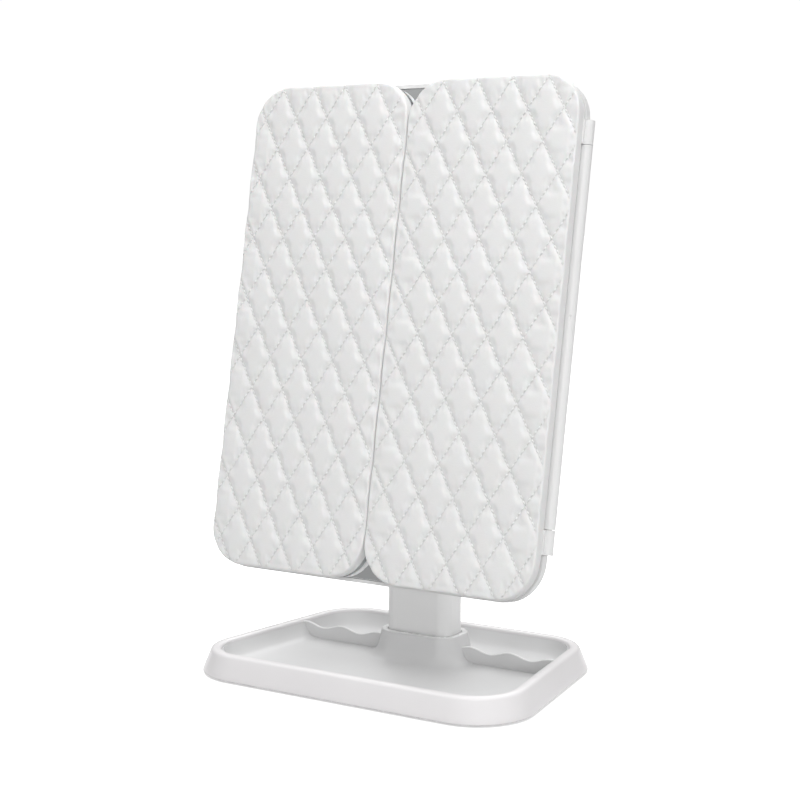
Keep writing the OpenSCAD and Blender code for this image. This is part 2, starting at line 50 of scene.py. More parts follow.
# Places of the CAD model that the soft and moulded pieces are built on, in mm.
# On the head, x is to the right, h up from the doors' lower edge and d back from their face.
LEAN = math.radians(11.2)
HEAD_Y, HEAD_Z = -48.6, 63.4
DOOR_W, DOOR_H, DOOR_X, CORNER_R = 109.55, 292.0, 54.925, 23.5
SKIRT_D, SHELL_D = 7.6, 5.2
HALF_W, CASING_H, CASING_MID = 109.7, 292.0, 145.1
GLASS_D, BACKING_D, GLASS_INSET, GLASS_R = 9.6, 11.6, 3.8, 22.3
STRIP_X, STRIP_W, STRIP_H, STRIP_R = 86, 12, 220, 5.5
DOOR_GLASS_D, DOOR_GLASS_T, DOOR_GLASS_IN, DOOR_GLASS_R = 6.4, 1.8, 3.6, 19.9
DOOR_STRIP_X, DOOR_STRIP_W, DOOR_STRIP_H, DOOR_STRIP_R = 92, 8, 206, 3.5

# The base: half widths at its front and back, depth, corner radius, heights and the neck
BASE_FRONT, BASE_BACK, BASE_D, BASE_R = 113.2, 93.4, 155.8, 34.8
RIM_Z, FLOOR_Z, TRAY_Z, COLLAR_Z = 15.0, 4.2, 3.0, 20.2
NECK_W, NECK_D, NECK_R, NECK_Y = 22.1, 11.5, 7.4, 24.7
DIVIDER_T, DIVIDER_END = 1.6, 92.5
DIVIDER_Y = NECK_Y - 1.6


# ------------------------------------------------------------------ helpers


def on_head(points):
    """Head points (x, height, depth) in mm as places in the row frame, in metres."""
    p = np.asarray(points, float)
    s, c = math.sin(LEAN), math.cos(LEAN)
    x, h, d = p[:, 0], p[:, 1], p[:, 2]
    return np.column_stack([x, HEAD_Y + d * c + h * s, HEAD_Z - d * s + h * c]) * MM


def new_piece(name, verts, faces, body, materials, smooth):
    """A mesh piece that rides on a body. Edges sharper than smooth degrees stay crisp."""
    mesh = bpy.data.meshes.new(name)
    mesh.from_pydata([tuple(v) for v in verts], [], [tuple(f) for f in faces])
    mesh.validate()
    obj = bpy.data.objects.new(name, mesh)
    scene.collection.objects.link(obj)
    shade(obj, smooth)
    for material in materials:
        mesh.materials.append(material)
    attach(obj, body)
    return obj


def shade(obj, angle):
    """Smooth shading with crisp edges above the angle."""
    mesh = obj.data
    mesh.polygons.foreach_set("use_smooth", [True] * len(mesh.polygons))
    mesh.set_sharp_from_angle(angle=math.radians(angle))
    mesh.update()


def points_and_faces(mesh):
    """A mesh's points as an array, and its polygons as tuples."""
    co = np.empty(len(mesh.vertices) * 3)
    mesh.vertices.foreach_get("co", co)
    return co.reshape(-1, 3), [tuple(p.vertices) for p in mesh.polygons]


def evaluated(obj):
    """Points and polygons of obj with its modifiers."""
    ev = obj.evaluated_get(bpy.context.evaluated_depsgraph_get())
    found = points_and_faces(ev.to_mesh())
    ev.to_mesh_clear()
    return found


def applied(obj):
    """Puts the modifiers' result into the mesh."""
    dg = bpy.context.evaluated_depsgraph_get()
    obj.data = bpy.data.meshes.new_from_object(obj.evaluated_get(dg))
    obj.modifiers.clear()
    return obj.data


def corner_ring(c1, c2, slope, r, steps):
    """Closed rounded outline through two corner centres and their mirror images."""
    out = []
    for cx, cy, a0, a1 in (
        (c1[0], c1[1], -90, slope),
        (c2[0], c2[1], slope, 90),
        (-c2[0], c2[1], 90, 180 - slope),
        (-c1[0], c1[1], 180 - slope, 270),
    ):
        for i in range(steps + 1):
            t = math.radians(a0 + (a1 - a0) * i / steps)
            out.append((cx + r * math.cos(t), cy + r * math.sin(t)))
    return out


SLOPE = math.degrees(math.atan((BASE_FRONT - BASE_BACK) / BASE_D))
SIN_SLOPE, COS_SLOPE = math.sin(math.radians(SLOPE)), math.cos(math.radians(SLOPE))
FRONT_C = (BASE_FRONT - BASE_R * (1 + SIN_SLOPE) / COS_SLOPE, BASE_R - BASE_D / 2)
BACK_C = (BASE_BACK - BASE_R * (1 - SIN_SLOPE) / COS_SLOPE, BASE_D / 2 - BASE_R)


def base_ring(inset, z):
    """Outline of the base, inset from its widest line."""
    outline = corner_ring(FRONT_C, BACK_C, SLOPE, BASE_R - inset, 20)
    return [(x, y, z) for x, y in outline]


def neck_ring(grow, z):
    """Outline of the neck, grown outwards."""
    front = (NECK_W - NECK_R, NECK_R - NECK_D)
    back = (NECK_W - NECK_R, NECK_D - NECK_R)
    outline = corner_ring(front, back, 0, NECK_R + grow, 16)
    return [(x, y + NECK_Y, z) for x, y in outline]


def eased(profile, parts):
    """A smooth line through profile points (a, z). A point with a third value keeps its corner."""
    pts = [np.array(p[:2], float) for p in profile]
    sharp = [len(p) > 2 for p in profile]
    out = []
    for i in range(len(pts) - 1):
        p0 = pts[i - 1] if i > 0 and not sharp[i] else 2 * pts[i] - pts[i + 1]
        p1, p2 = pts[i], pts[i + 1]
        p3 = pts[i + 2] if i + 2 < len(pts) and not sharp[i + 1] else 2 * p2 - p1
        span = np.linalg.norm(p2 - p1)
        m1 = (p2 - p0) / (np.linalg.norm(p1 - p0) + span) * span
        m2 = (p3 - p1) / (span + np.linalg.norm(p3 - p2)) * span
        for k in range(parts):
            t = k / parts
            out.append(
                (2 * t**3 - 3 * t**2 + 1) * p1
                + (t**3 - 2 * t**2 + t) * m1
                + (-2 * t**3 + 3 * t**2) * p2
                + (t**3 - t**2) * m2
            )
    out.append(pts[-1])
    return out


def skin(rings, closed=False, capped=False):
    """Vertices in metres and faces of a skin through rings of equal length."""
    n, m = len(rings[0]), len(rings)
    verts = [tuple(c * MM for c in p) for ring in rings for p in ring]
    faces = []
    for j in range(m if closed else m - 1):
        a, b = j * n, ((j + 1) % m) * n
        faces += [(a + i, a + (i + 1) % n, b + (i + 1) % n, b + i) for i in range(n)]
    if capped:
        faces.append(tuple(range(n - 1, -1, -1)))
        faces.append(tuple((m - 1) * n + i for i in range(n)))
    return verts, faces


def joined(parts):
    """Several (vertices, faces) as one."""
    verts, faces = [], []
    for v, f in parts:
        k = len(verts)
        verts += list(v)
        faces += [tuple(i + k for i in face) for face in f]
    return verts, faces


# ------------------------------------------------------------------ materials


NOISE_ROUGHNESS = 0.55
FINE_GRAIN, SURFACE_DRIFT = 0.02 * MM, 0.05 * MM


class Paint:
    """A procedural material, in object coordinates that are metres in the row frame."""

    def __init__(self, name, **sockets):
        self.mat = bpy.data.materials.new(name)
        self.mat.use_nodes = True
        self.tree = self.mat.node_tree
        self.bsdf = self.tree.nodes["Principled BSDF"]
        for key, value in sockets.items():
            self.bsdf.inputs[key.replace("_", " ")].default_value = value
        self.coords = self.tree.nodes.new("ShaderNodeTexCoord").outputs["Object"]
        self.height = None

    def node(self, kind, **settings):
        """A new shader node with the given settings."""
        n = self.tree.nodes.new(kind)
        for key, value in settings.items():
            setattr(n, key, value)
        return n

    def link(self, a, b):
        self.tree.links.new(a, b)

    def noise(self, scale, detail, stretch=None):
        """Cloudy noise from 0 to 1, with scale in features per metre."""
        n = self.node("ShaderNodeTexNoise")
        n.inputs["Scale"].default_value = scale
        n.inputs["Detail"].default_value = detail
        n.inputs["Roughness"].default_value = NOISE_ROUGHNESS
        if stretch:
            mapping = self.node("ShaderNodeMapping")
            mapping.inputs["Scale"].default_value = stretch
            self.link(self.coords, mapping.inputs["Vector"])
            self.link(mapping.outputs["Vector"], n.inputs["Vector"])
        else:
            self.link(self.coords, n.inputs["Vector"])
        return n.outputs["Fac"]

    def cells(self, scale, smooth):
        """Distance to the middle of rounded cells, for pebbled grain."""
        n = self.node("ShaderNodeTexVoronoi", feature="SMOOTH_F1")
        n.inputs["Scale"].default_value = scale
        n.inputs["Smoothness"].default_value = smooth
        self.link(self.coords, n.inputs["Vector"])
        return n.outputs["Distance"]

    def ramp(self, value, low, high, out_low, out_high):
        """A value mapped from one range to another."""
        n = self.node("ShaderNodeMapRange")
        for key, x in zip(
            ("From Min", "From Max", "To Min", "To Max"), (low, high, out_low, out_high)
        ):
            n.inputs[key].default_value = x
        self.link(value, n.inputs["Value"])
        return n.outputs["Result"]

    def tint(self, value, low, high, dark, light):
        """A colour between dark and light."""
        n = self.node("ShaderNodeValToRGB")
        a, b = n.color_ramp.elements
        a.position, b.position = low, high
        a.color, b.color = (*dark, 1), (*light, 1)
        self.link(value, n.inputs["Fac"])
        return n.outputs["Color"]

    def colour(self, output):
        self.link(output, self.bsdf.inputs["Base Color"])
        return self

    def rough(self, output):
        self.link(output, self.bsdf.inputs["Roughness"])
        return self

    def bump(self, output, distance, strength):
        """Adds a layer of relief on top of those before it."""
        n = self.node("ShaderNodeBump")
        n.inputs["Strength"].default_value = strength
        n.inputs["Distance"].default_value = distance
        self.link(output, n.inputs["Height"])
        if self.height is not None:
            self.link(self.height, n.inputs["Normal"])
        self.height = n.outputs["Normal"]
        self.link(self.height, self.bsdf.inputs["Normal"])
        return self


def moulded(name, light, dark, rough, coat=0.0):
    """Moulded plastic: slight tone drift, satin to gloss patches and a fine moulding grain."""
    p = Paint(name, Specular_IOR_Level=0.45, Coat_Weight=coat, Coat_Roughness=0.12)
    p.colour(p.tint(p.noise(14, 3), 0.3, 0.75, dark, light))
    p.rough(p.ramp(p.noise(60, 5), 0.3, 0.7, rough - 0.05, rough + 0.06))
    p.bump(p.noise(2600, 2), FINE_GRAIN, 0.6)
    p.bump(p.noise(90, 2), SURFACE_DRIFT, 0.25)
    return p.mat


def metal(name, colour, rough):
    """Metal with fine brushing and slightly darker patches."""
    brushed = (1, 1, 30)
    worn = tuple(c * 0.86 for c in colour)
    p = Paint(name, Metallic=1.0, Base_Color=(*colour, 1))
    p.rough(p.ramp(p.noise(240, 4, brushed), 0.3, 0.7, rough - 0.07, rough + 0.1))
    p.colour(p.tint(p.noise(35, 3), 0.3, 0.7, worn, colour))
    p.bump(p.noise(900, 3, brushed), 0.01 * MM, 0.5)
    return p.mat


def leather():
    """Soft artificial leather: pebbled grain of two sizes, faint creases and a low sheen."""
    p = Paint(
        "Quilted_leather",
        Specular_IOR_Level=0.42,
        Sheen_Weight=0.08,
        Sheen_Roughness=0.45,
        Subsurface_Weight=0.06,
        Subsurface_Scale=0.0015,
    )
    tone = p.tint(p.noise(22, 4), 0.28, 0.72, (0.79, 0.79, 0.786), (0.82, 0.82, 0.818))
    # Painted shade: the leather is darkened along the stitch lines, most in the needle holes, by a
    # point attribute made with the quilt
    holes = p.node("ShaderNodeAttribute", attribute_name="seam_shade")
    seam_shade_mix = p.node("ShaderNodeMix", data_type="RGBA", blend_type="MULTIPLY")
    seam_shade_mix.inputs["B"].default_value = (0.82, 0.82, 0.81, 1)
    p.link(holes.outputs["Fac"], seam_shade_mix.inputs["Factor"])
    p.link(tone, seam_shade_mix.inputs["A"])
    p.colour(seam_shade_mix.outputs["Result"])
    p.rough(p.ramp(p.noise(420, 4), 0.3, 0.7, 0.4, 0.55))
    p.bump(p.noise(260, 4), 0.1 * MM, 0.35)
    p.bump(p.cells(1150, 0.6), 0.06 * MM, 0.5)
    p.bump(p.noise(3400, 2), 0.015 * MM, 0.5)
    return p.mat


def thread():
    """Matt sewing thread, mottled by its twist."""
    p = Paint("Stitch_thread", Specular_IOR_Level=0.3, Sheen_Weight=0.2)
    twist = p.noise(1800, 3, (1, 1, 0.35))
    p.colour(p.tint(twist, 0.3, 0.7, (0.7, 0.7, 0.695), (0.86, 0.86, 0.855)))
    p.rough(p.ramp(twist, 0.3, 0.7, 0.55, 0.75))
    p.bump(twist, 0.06 * MM, 0.7)
    return p.mat


def glass_mirror():
    """Silvered glass: a faintly cool reflection, with the slightest waviness and dust haze."""
    p = Paint("Mirror_glass", Metallic=1.0, Specular_IOR_Level=0.5)
    p.colour(p.tint(p.noise(9, 2), 0.3, 0.7, (0.83, 0.845, 0.85), (0.86, 0.875, 0.88)))
    p.rough(p.ramp(p.noise(55, 5), 0.42, 0.75, 0.015, 0.045))
    p.bump(p.noise(6, 1), 0.02 * MM, 0.15)
    return p.mat


def acrylic():
    """Frosted acrylic of the light bars."""
    p = Paint(
        "Frosted_acrylic",
        Transmission_Weight=0.3,
        IOR=1.49,
        Coat_Weight=0.15,
        Coat_Roughness=0.25,
    )
    p.colour(p.tint(p.noise(45, 3), 0.3, 0.7, (0.84, 0.84, 0.82), (0.89, 0.89, 0.875)))
    p.rough(p.ramp(p.noise(1500, 3), 0.3, 0.7, 0.42, 0.55))
    p.bump(p.noise(2200, 3), 0.02 * MM, 0.5)
    return p.mat


def circuit():
    """Green solder mask over faint copper traces."""
    p = Paint("Circuit_board", Specular_IOR_Level=0.5, Coat_Weight=0.4, Coat_Roughness=0.2)
    wave = p.node("ShaderNodeTexWave", wave_type="BANDS", bands_direction="DIAGONAL")
    wave.inputs["Scale"].default_value = 260
    wave.inputs["Distortion"].default_value = 3
    p.link(p.coords, wave.inputs["Vector"])
    p.colour(
        p.tint(wave.outputs["Fac"], 0.55, 0.72, (0.01, 0.11, 0.045), (0.03, 0.2, 0.09))
    )
    p.rough(p.ramp(p.noise(300, 3), 0.3, 0.7, 0.3, 0.42))
    p.bump(wave.outputs["Fac"], 0.03 * MM, 0.4)
    return p.mat


def rubber():
    """Matt black rubber."""
    p = Paint("Foot_rubber", Specular_IOR_Level=0.3)
    black, worn = (0.045, 0.045, 0.047), (0.075, 0.075, 0.078)
    p.colour(p.tint(p.noise(120, 4), 0.3, 0.7, black, worn))
    p.rough(p.ramp(p.noise(400, 4), 0.3, 0.7, 0.7, 0.88))
    p.bump(p.noise(1400, 4), 0.08 * MM, 0.6)
    return p.mat


def wrapper(name, dark, light, rough):
    """Plain coated surface of the small inner parts."""
    p = Paint(name, Specular_IOR_Level=0.45)
    p.colour(p.tint(p.noise(70, 4), 0.3, 0.7, dark, light))
    p.rough(p.ramp(p.noise(500, 3), 0.3, 0.7, rough - 0.06, rough + 0.08))
    p.bump(p.noise(1100, 3), 0.03 * MM, 0.5)
    return p.mat


BASE_WHITE = moulded("Base_moulding", (0.79, 0.775, 0.782), (0.76, 0.745, 0.752), 0.36, 0.1)
GREY = moulded("Tray_moulding", (0.7, 0.7, 0.702), (0.67, 0.67, 0.672), 0.4, 0.08)
# Lighter grey for the divider tops and the collar lip: a painted highlight
GREY_PAINTED_HIGHLIGHT = moulded("Tray_painted_highlight", (0.88, 0.88, 0.88), (0.85, 0.85, 0.85), 0.3, 0.2)
LEATHER = leather()
THREAD = thread()
MIRROR = glass_mirror()
ACRYLIC = acrylic()

BY_SLOT = {
    "white_abs": moulded("White_moulding", (0.81, 0.81, 0.808), (0.775, 0.775, 0.773), 0.33, 0.12),
    "grey_abs": GREY,
    "quilted_leather": LEATHER,
    "mirror_glass": MIRROR,
    "frosted_acrylic": ACRYLIC,
    "led_board_white": wrapper("White_solder_mask", (0.78, 0.78, 0.76), (0.84, 0.84, 0.82), 0.35),
    "led_lens": wrapper("Phosphor_lens", (0.75, 0.6, 0.12), (0.85, 0.72, 0.2), 0.3),
    "circuit_board": circuit(),
    "black_plastic": moulded("Black_moulding", (0.035, 0.035, 0.036), (0.02, 0.02, 0.021), 0.42),
    "switch_grey": moulded("Switch_moulding", (0.16, 0.16, 0.163), (0.11, 0.11, 0.113), 0.45),
    "plain_steel": metal("Zinc_plated_steel", (0.62, 0.62, 0.6), 0.34),
    "contact_metal": metal("Nickel_contacts", (0.72, 0.7, 0.66), 0.26),
    "copper_pad": metal("Copper_pad", (0.72, 0.4, 0.25), 0.35),
    "cell_wrap": wrapper("Cell_wrap", (0.02, 0.08, 0.1), (0.03, 0.13, 0.16), 0.3),
    "foot_rubber": rubber(),
    "wire_red": wrapper("Wire_insulation", (0.42, 0.02, 0.015), (0.5, 0.035, 0.03), 0.4),
    "foam_grey": wrapper("Backing_foam", (0.16, 0.16, 0.165), (0.22, 0.22, 0.225), 0.85),
}
SLOT_OF = {s["node"]: s["material_slot"] for s in frame["record"]["subparts"]}
BODY_OF = {n: b for b, ns in frame["record"]["behaviour"]["bodies"].items() for n in ns}

for name, node in frame["nodes"].items():
    node.data.materials.clear()
    node.data.materials.append(BY_SLOT[SLOT_OF[name]])


# ------------------------------------------------------------------ rounded copies of CAD parts

WELD = 2e-6
EDGE_ANGLE, SMOOTH_ANGLE = 28.0, 35.0
COPLANAR = 0.99995


def flat_normals(mesh, angle):
    """Normals in which each flat face counts with its whole area.

    A flat face is then shaded flat up to its rounded edge.
    """
    n = len(mesh.polygons)
    normals = [p.normal.copy() for p in mesh.polygons]
    areas = [p.area for p in mesh.polygons]
    by_edge = {}
    for p in mesh.polygons:
        for key in p.edge_keys:
            by_edge.setdefault(key, []).append(p.index)
    group = list(range(n))

    def root(i):
        """The face that stands for the flat group that face i is in."""
        while group[i] != i:
            group[i] = group[group[i]]
            i = group[i]
        return i

    for pair in by_edge.values():
        if len(pair) == 2 and normals[pair[0]].dot(normals[pair[1]]) > COPLANAR:
            group[root(pair[0])] = root(pair[1])
    whole = [0.0] * n
    for i in range(n):
        whole[root(i)] += areas[i]
    weights = [whole[root(i)] for i in range(n)]
    around = [[] for _ in mesh.vertices]
    for p in mesh.polygons:
        for v in p.vertices:
            around[v].append(p.index)
    near = math.cos(math.radians(angle))
    loops = []
    for p in mesh.polygons:
        own = normals[p.index]
        for v in p.vertices:
            total = Vector((0, 0, 0))
            for f in around[v]:
                if normals[f].dot(own) > near:
                    total += normals[f] * weights[f]
            loops.append(total.normalized() if total.length > 0 else own)
    mesh.normals_split_custom_set(loops)


def refined(name, width):
    """A copy of a CAD part with its moulded edges rounded, which stands for it."""
    node = frame["nodes"][name]
    bm = bmesh.new()
    bm.from_mesh(node.data)
    bmesh.ops.remove_doubles(bm, verts=bm.verts, dist=WELD)
    mesh = bpy.data.meshes.new(name + "_part")
    bm.to_mesh(mesh)
    bm.free()
    obj = bpy.data.objects.new(name + "_part", mesh)
    scene.collection.objects.link(obj)
    mesh.materials.append(BY_SLOT[SLOT_OF[name]])
    mesh.polygons.foreach_set("use_smooth", [True] * len(mesh.polygons))
    bevel = obj.modifiers.new("edges", "BEVEL")
    bevel.width = width * MM
    bevel.segments = 2
    bevel.limit_method = "ANGLE"
    bevel.angle_limit = math.radians(EDGE_ANGLE)
    bevel.use_clamp_overlap = True
    bevel.loop_slide = False
    applied(obj)
    shade(obj, SMOOTH_ANGLE)
    flat_normals(obj.data, SMOOTH_ANGLE)
    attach(obj, BODY_OF[name])
    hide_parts(name)


for name, width in (
    ("neck_post", 0.35),
    ("battery_door", 0.3),
    ("tilt_bracket", 0.4),
    ("pin_caps", 0.15),
    ("mirror_frame", 0.3),
    ("back_cover", 0.25),
    ("left_door_shell", 0.2),
    ("right_door_shell", 0.2),
    ("base_bottom", 0.2),
    ("rubber_feet", 0.25),
    ("power_switch", 0.2),
    ("usb_socket", 0.08),
):
    refined(name, width)


# ------------------------------------------------------------------ glass and light bars


def rounded(cx, ch, w, h, r):
    """Rounded rectangle on the head as points (x, height)."""
    outline = corner_ring((w / 2 - r, r - h / 2), (w / 2 - r, h / 2 - r), 0, r, 14)
    return [(x + cx, y + ch) for x, y in outline]


def slab(outlines, d1, d2, edge):
    """Flat plate of the head between two depths, with polished edges.

    The outlines after the first are windows.
    """
    curve = bpy.data.curves.new("outline", "CURVE")
    curve.dimensions = "2D"
    curve.fill_mode = "BOTH"
    for outline in outlines:
        spline = curve.splines.new("POLY")
        spline.points.add(len(outline) - 1)
        for point, (x, h) in zip(spline.points, outline):
            point.co = (x, h, 0, 1)
        spline.use_cyclic_u = True
    curve.extrude = (d2 - d1) / 2 - edge
    curve.bevel_depth = edge
    curve.bevel_resolution = 2
    curve.offset = -edge
    shape = bpy.data.objects.new("outline", curve)
    scene.collection.objects.link(shape)
    co, polys = evaluated(shape)
    bpy.data.objects.remove(shape)
    co[:, 2] += (d1 + d2) / 2
    return on_head(co), [p[::-1] for p in polys]


PLATE_ANGLE = 25


def plate(name, outlines, d1, d2, edge, node, material):
    """A slab as a piece that stands for a node and rides on the node's body."""
    verts, faces = slab(outlines, d1, d2, edge)
    obj = new_piece(name, verts, faces, BODY_OF[node], [material], PLATE_ANGLE)
    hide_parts(node)


plate(
    "centre_glass",
    [
        rounded(0, CASING_MID, 2 * (HALF_W - GLASS_INSET), CASING_H - 4.4, GLASS_R),
        rounded(-STRIP_X, DOOR_H / 2, STRIP_W, STRIP_H, STRIP_R),
        rounded(STRIP_X, DOOR_H / 2, STRIP_W, STRIP_H, STRIP_R),
    ],
    GLASS_D, BACKING_D, 0.25, "centre_mirror", MIRROR,
)
DOOR_GLASS_BACK = DOOR_GLASS_D + DOOR_GLASS_T
DOOR_GLASS_W, DOOR_GLASS_H = DOOR_W - 2 * DOOR_GLASS_IN, DOOR_H - 2 * DOOR_GLASS_IN
for side, word in ((-1, "left"), (1, "right")):
    plate(
        word + "_door_glass",
        [
            rounded(side * DOOR_X, DOOR_H / 2, DOOR_GLASS_W, DOOR_GLASS_H, DOOR_GLASS_R),
            rounded(side * DOOR_STRIP_X, DOOR_H / 2, DOOR_STRIP_W, DOOR_STRIP_H, DOOR_STRIP_R),
        ],
        DOOR_GLASS_D, DOOR_GLASS_BACK, 0.2, word + "_door_mirror", MIRROR,
    )
    plate(
        word + "_door_light_bar",
        [rounded(side * DOOR_STRIP_X, DOOR_H / 2, DOOR_STRIP_W - 0.3, DOOR_STRIP_H - 0.3, 3.3)],
        DOOR_GLASS_D + 0.4, DOOR_GLASS_BACK, 0.3, word + "_door_diffuser", ACRYLIC,
    )


def light_bars():
    """The casing's two light bars as one piece, as in the CAD model."""
    parts = []
    for x in (-STRIP_X, STRIP_X):
        outline = rounded(x, DOOR_H / 2, STRIP_W - 0.4, STRIP_H - 0.4, 5.3)
        parts.append(slab([outline], GLASS_D, BACKING_D, 0.4))
    verts, faces = joined(parts)
    obj = new_piece(
        "casing_light_bars", verts, faces, "head", [ACRYLIC], PLATE_ANGLE
    )
    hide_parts("light_diffusers")


light_bars()


# ------------------------------------------------------------------ base

MOULDING_ANGLE = 50


def base_shell():
    """Outer wall and rolled rim of the base. Its profile is (inset, height)."""
    outer = eased([(0.35, 1.0, "s"), (0.08, 1.25), (0.0, 1.8), (2.2, 7.3), (4.3, 12.3),
                   (5.2, RIM_Z - 0.9), (6.3, RIM_Z - 0.2), (8, RIM_Z), (9.7, RIM_Z - 0.12),
                   (10.8, RIM_Z - 0.6), (11.3, RIM_Z - 1.5), (11.3, RIM_Z - 2.6)], 3)
    inner = [(6.8, RIM_Z - 2.6), (2.6, 1.0)]
    rings = [base_ring(a, z) for a, z in outer + inner]
    verts, faces = skin(rings, closed=True)
    obj = new_piece("base_rim", verts, faces, "base", [BASE_WHITE], MOULDING_ANGLE)
    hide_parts("base_shell")


def hump():
    """Raised collar that flares out of the tray floor round the neck."""
    profile = eased([(15.5, FLOOR_Z - 0.15), (12, FLOOR_Z + 0.3), (9.4, FLOOR_Z + 1.4),
                     (7.6, FLOOR_Z + 3.2), (6.4, FLOOR_Z + 5.6), (5.4, FLOOR_Z + 9),
                     (4.7, FLOOR_Z + 12.6), (4.3, COLLAR_Z - 0.9), (3.9, COLLAR_Z - 0.3),
                     (3.1, COLLAR_Z, "s")], 4)
    down = [(2.2, COLLAR_Z, "s"), (0.9, COLLAR_Z - 0.05), (0.45, COLLAR_Z - 0.5),
            (0.35, COLLAR_Z - 1.4), (0.35, FLOOR_Z)]
    rings = [neck_ring(a, z) for a, z in profile + eased(down, 2)]
    return skin(rings)


def wavy_top(x):
    """Height of a divider's top: waves 27 mm long and 1.4 mm high."""
    return RIM_Z - 2 + 1.4 * math.cos(math.radians(360 * (abs(x) - 60) / 27))


def dividers():
    """Thin walls with rolled wavy tops, from the tray's sides to the hump."""
    half = DIVIDER_T / 2
    section = []
    for k in range(9):
        a = math.pi * k / 8
        section.append((-math.cos(a) * half, math.sin(a) * half * 0.9))
    parts = []
    xs = np.linspace(NECK_W + 2.5, DIVIDER_END, 140)
    n = len(section) + 2
    for side in (-1, 1):
        verts, faces = [], []
        for x in xs:
            top = wavy_top(x) - half
            ring = [(-half, FLOOR_Z - 1.0)]
            ring += [(a, top + b) for a, b in section]
            ring += [(half, FLOOR_Z - 1.0)]
            verts += [(side * x * MM, (DIVIDER_Y + a) * MM, z * MM) for a, z in ring]
        for j in range(len(xs) - 1):
            for i in range(n - 1):
                f = (j * n + i, j * n + i + 1, (j + 1) * n + i + 1, (j + 1) * n + i)
                faces.append(f if side > 0 else f[::-1])
        faces += [tuple(range(n)), tuple((len(xs) - 1) * n + i for i in range(n - 1, -1, -1))]
        parts.append((verts, faces))
    return parts


def tray():
    """Tray with its raised collar and two dividers. Its profiles are (inset, height)."""
    under = [(26, TRAY_Z), (20, 3.3), (16.6, 4.4), (14.2, 6.6), (12.3, 9.6), (11.5, 12.2),
             (11.5, RIM_Z - 1.7)]
    upper = eased([(12.2, RIM_Z - 1.5), (12.7, 12), (13.8, 9.7), (15.6, 7.4), (18, 5.6),
                   (21.4, 4.5), (26, FLOOR_Z), (30, FLOOR_Z)], 4)
    rings = [base_ring(a, z) for a, z in under + upper]
    verts, faces = joined([skin(rings, capped=True), hump(), *dividers()])
    obj = new_piece(
        "tray_liner", verts, faces, "base", [GREY, GREY_PAINTED_HIGHLIGHT], MOULDING_ANGLE
    )
    # The rolled tops of the dividers and the collar's lip get a lighter grey: a painted highlight
    # along these edges
    for p in obj.data.polygons:
        x, y, z = (v / MM for v in p.center)
        lip = z > COLLAR_Z - 0.22
        on_divider = abs(y - DIVIDER_Y) < 1.2 and NECK_W + 4 < abs(x) < 92
        if lip or (on_divider and z > wavy_top(x) - 0.78):
            p.material_index = 1
    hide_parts("tray_insert")


base_shell()
tray()


# ------------------------------------------------------------------ quilted doors

# Width and height of a diamond, and a crossing of stitch lines on each door (x, h)
CELL_W, CELL_H = 22.55, 36.5
CROSSING = {-1: (-57.55, 271.72), 1: (55.1, 271.92)}
LINE_U = np.array([CELL_W / 2, CELL_H / 2])
LINE_V = np.array([-CELL_W / 2, CELL_H / 2])
# Quads along a diamond's side, radius of the turned edge, depth of the stitch lines
GRID = 10
WRAP_R = 1.8
PUFF = 1.2
SHEET_OUT = WRAP_R * math.pi / 2 + SKIRT_D - WRAP_R
STITCH_PITCH, LINE_PHASE = 3.2, 0.37
FULLNESS, PILLOW_SHARE, SEAM_DEPTH = 0.55, 0.92, 0.12
LARGEST_MOVE, SHALLOWEST = 1.6, 0.05
SIM_SCALE, SIM_FRAMES = 10 * MM, 20


def edge_distance(x, h, cx):
    """Distance outside the line where the leather starts to turn, and the way out from it."""
    half_x, half_h, r = DOOR_W / 2 - WRAP_R, DOOR_H / 2 - WRAP_R, CORNER_R - WRAP_R
    qx, qh = abs(x - cx) - (half_x - r), abs(h - DOOR_H / 2) - (half_h - r)
    ox, oh = max(qx, 0.0), max(qh, 0.0)
    length = math.hypot(ox, oh)
    sx, sh = math.copysign(1, x - cx), math.copysign(1, h - DOOR_H / 2)
    if length > 1e-9:
        return length - r, (sx * ox / length, sh * oh / length)
    if qx > qh:
        return qx - r, (sx, 0.0)
    return qh - r, (0.0, sh)


def wrapped(x, h, cx):
    """Where a point of the flat leather lies once it is turned round the edge: (x, h, d)."""
    out, way = edge_distance(x, h, cx)
    if out <= 0:
        return x, h, 0.0
    turn = WRAP_R * math.pi / 2
    if out < turn:
        a = out / WRAP_R
        back, down = out - WRAP_R * math.sin(a), WRAP_R * (1 - math.cos(a))
    else:
        back, down = out - WRAP_R, WRAP_R + out - turn
    return x - way[0] * back, h - way[1] * back, down


def inwards(spots, cx):
    """Directions into the door, square to the leather, at flat places on it."""
    found = []
    for x, h in spots:
        out, way = edge_distance(x, h, cx)
        a = min(max(out, 0.0) / WRAP_R, math.pi / 2)
        found.append((-way[0] * math.sin(a), -way[1] * math.sin(a), math.cos(a)))
    return np.array(found)


def kept_within(points, cx, spare=0.04):
    """Points moved back where they stand out beyond the door's outline."""
    points = points.copy()
    for p in points:
        out, way = edge_distance(p[0], p[1], cx)
        if out > WRAP_R - spare:
            p[0] -= way[0] * (out - WRAP_R + spare)
            p[1] -= way[1] * (out - WRAP_R + spare)
    return points


